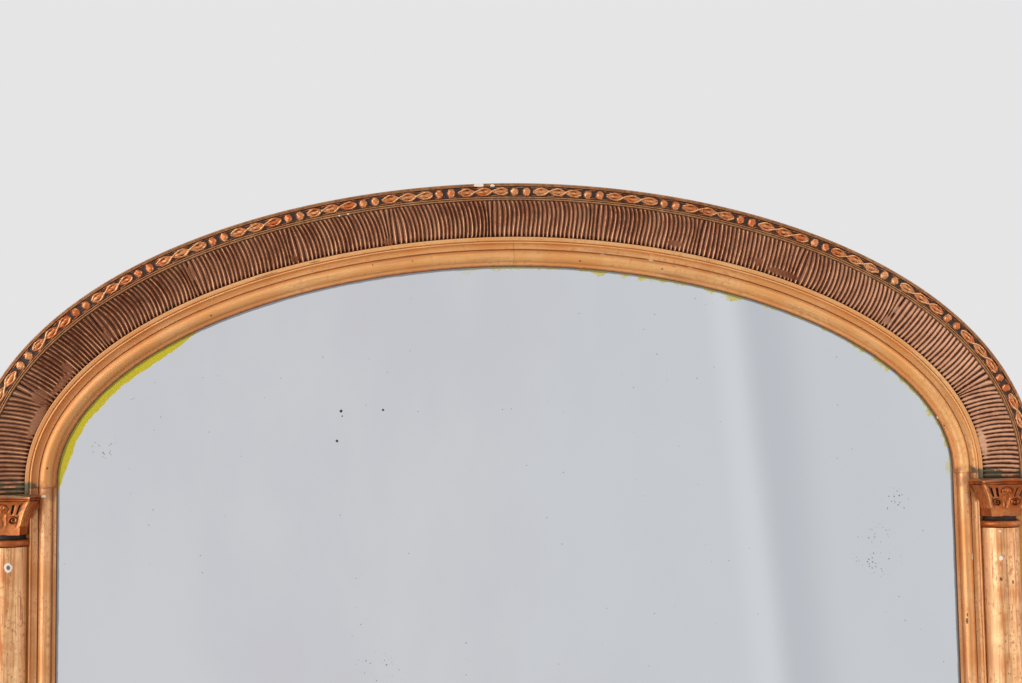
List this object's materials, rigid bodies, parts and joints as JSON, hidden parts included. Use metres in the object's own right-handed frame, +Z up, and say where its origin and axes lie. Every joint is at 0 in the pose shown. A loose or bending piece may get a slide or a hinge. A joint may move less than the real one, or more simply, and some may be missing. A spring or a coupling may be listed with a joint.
{
  "type": "overmantel mirror",
  "caption": "Arched overmantel mirror: a silvered plate in a gilt wood frame with half columns, a reeded cove arch and a bead and ribbon edge.",
  "frame": {"origin": "centre of the box round the frame, on the shelf that it stands on", "axes": "+Z up, +Y towards the wall, so the glass faces -Y, and +X to the viewer's right"},
  "size_m": [1.126, 0.065, 1.319],
  "materials": {
    "gilding": "water gilding over red clay on gesso, worn at the arrises, satin",
    "burnished_gilding": "burnished water gilding over red clay on gesso, soft gloss",
    "reeding": "pressed composition, bronzed and rubbed bright on the ribs, dark in the valleys",
    "copper_gilding": "coppery toned gilding over red clay, carved, dark in the hollows",
    "silvering": "silvered plate with faint foxing and a yellowed edge",
    "pine": "planed pine, darkened with age",
    "aged_pine": "rough sawn pine boards, dusty",
    "iron": "forged iron with brown rust",
    "screw_steel": "dull steel screws"
  },
  "bodies": {
    "frame": {"arch_front_ply_1": "pine", "arch_front_ply_2": "pine", "arch_front_ply_3": "pine", "arch_back_ply_1": "pine", "arch_back_ply_2": "pine", "stile_left": "pine", "stile_right": "pine", "bottom_rail": "pine", "mirror_plate": "silvering", "glass_batten_arch": "aged_pine", "glass_batten_left": "aged_pine", "glass_batten_right": "aged_pine", "glass_batten_bottom": "aged_pine", "back_plank_1": "aged_pine", "back_plank_2": "aged_pine", "back_plank_3": "aged_pine", "back_plank_4": "aged_pine", "sight_arch_left": "gilding", "sight_arch_right": "gilding", "sight_left": "burnished_gilding", "sight_right": "burnished_gilding", "sight_bottom": "burnished_gilding", "cove_1": "gilding", "cove_2": "gilding", "cove_3": "gilding", "reed_strip_1": "reeding", "reed_strip_2": "reeding", "reed_strip_3": "reeding", "reed_strip_4": "reeding", "reed_strip_5": "reeding", "reed_strip_6": "reeding", "reed_strip_7": "reeding", "reed_strip_8": "reeding", "reed_strip_9": "reeding", "reed_strip_10": "reeding", "reed_strip_11": "reeding", "reed_strip_12": "reeding", "ornament_1": "copper_gilding", "ornament_2": "copper_gilding", "ornament_3": "copper_gilding", "facing_left": "gilding", "column_left": "burnished_gilding", "capital_left": "copper_gilding", "base_left": "copper_gilding", "plinth_left": "gilding", "facing_right": "gilding", "column_right": "burnished_gilding", "capital_right": "copper_gilding", "base_right": "copper_gilding", "plinth_right": "gilding", "facing_bottom": "gilding", "foot_moulding": "gilding", "hanger_strap_left": "iron", "hanger_screw_left_upper": "screw_steel", "hanger_screw_left_lower": "screw_steel", "hanger_strap_right": "iron", "hanger_screw_right_upper": "screw_steel", "hanger_screw_right_lower": "screw_steel"},
    "ring_left": {"hanger_ring_left": "iron"},
    "ring_right": {"hanger_ring_right": "iron"}
  },
  "joints": [
    {"name": "left_ring_swing", "type": "hinge", "parent": "frame", "child": "ring_left", "pos_m": [-0.536, 0.0283, 0.905], "axis": [1, 0, 0], "range_deg": [0, 175]},
    {"name": "right_ring_swing", "type": "hinge", "parent": "frame", "child": "ring_right", "pos_m": [0.536, 0.0283, 0.905], "axis": [1, 0, 0], "range_deg": [0, 175]}
  ]
}
